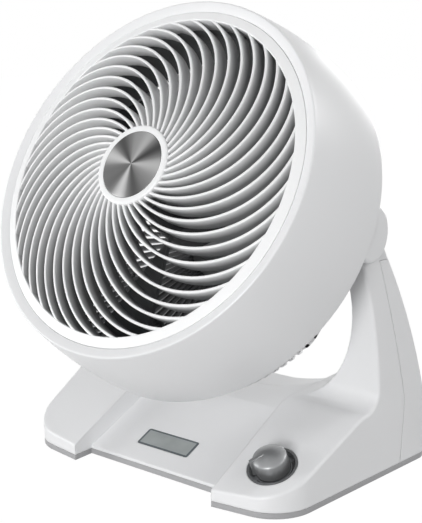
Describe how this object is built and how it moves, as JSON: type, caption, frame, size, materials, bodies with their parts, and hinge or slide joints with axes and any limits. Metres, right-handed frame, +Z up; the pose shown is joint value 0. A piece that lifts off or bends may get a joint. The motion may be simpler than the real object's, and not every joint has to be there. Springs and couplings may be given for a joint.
{
  "type": "air circulator fan",
  "caption": "Desktop air circulator fan: round tilting head with a spiral-vane grille and ducted propeller on a wedge base with two arms and a speed knob.",
  "frame": {"origin": "on the floor, in the middle of the fan's outline at its resting tilt", "axes": "+Z up, the fan faces -Y, +X is to the right of somebody who faces it"},
  "size_m": [0.304, 0.2508, 0.3623],
  "materials": {
    "white_plastic": "satin white moulding",
    "duct_plastic": "plain light grey moulding",
    "plate_plastic": "grey moulding",
    "bezel_plastic": "white ring",
    "label_plastic": "bare plate",
    "knob_silver": "silver lacquer",
    "medallion_metal": "spun disc",
    "prop_plastic": "dark grey moulding",
    "nut_plastic": "black moulding",
    "foot_rubber": "plain",
    "lead_rubber": "plain",
    "screw_steel": "zinc plated",
    "washer_plastic": "plain",
    "motor_steel": "plated",
    "lamination_steel": "stacked sheet",
    "winding_copper": "enamelled copper",
    "bearing_steel": "ground",
    "magnet_iron": "sintered ring",
    "board_plastic": "circuit board",
    "pot_plastic": "plain",
    "jack_plastic": "black"
  },
  "bodies": {
    "base": {"base_shell": "white_plastic", "rear_shell": "white_plastic", "bottom_plate": "plate_plastic", "rubber_feet": "foot_rubber", "base_screws": "screw_steel", "knob_bezel": "bezel_plastic", "potentiometer": "pot_plastic", "label_plate": "label_plastic", "control_board": "board_plastic", "board_screws": "screw_steel", "power_jack": "jack_plastic", "motor_lead": "lead_rubber"},
    "head": {"front_grille": "white_plastic", "hub_medallion": "medallion_metal", "duct_housing": "white_plastic", "inner_duct": "duct_plastic", "rear_grille": "white_plastic", "housing_screws": "screw_steel", "motor_screws": "screw_steel", "motor_can": "motor_steel", "motor_end_cap": "motor_steel", "stator_core": "lamination_steel", "stator_coils": "winding_copper", "rear_bearing": "bearing_steel", "front_bearing": "bearing_steel", "pivot_bolt_left": "screw_steel", "pivot_bolt_right": "screw_steel", "pivot_washers_left": "washer_plastic", "pivot_washers_right": "washer_plastic"},
    "rotor": {"motor_shaft": "bearing_steel", "rotor_magnet": "magnet_iron", "propeller": "prop_plastic", "propeller_nut": "nut_plastic"},
    "knob": {"control_knob": "knob_silver", "pot_shaft": "pot_plastic"}
  },
  "joints": [
    {"name": "head_tilt", "type": "hinge", "parent": "base", "child": "head", "pos_m": [0, 0.0163, 0.1987], "axis": [-1, 0, 0], "range_deg": [-28.6, 61.4]},
    {"name": "propeller_spin", "type": "hinge", "parent": "head", "child": "rotor", "pos_m": [0, 0.0163, 0.1987], "axis": [0, -0.878, 0.4787], "continuous": true},
    {"name": "knob_turn", "type": "hinge", "parent": "base", "child": "knob", "pos_m": [0.1004, -0.0342, 0.02949], "axis": [0, -0.4226, 0.9063], "range_deg": [-270, 0]}
  ]
}
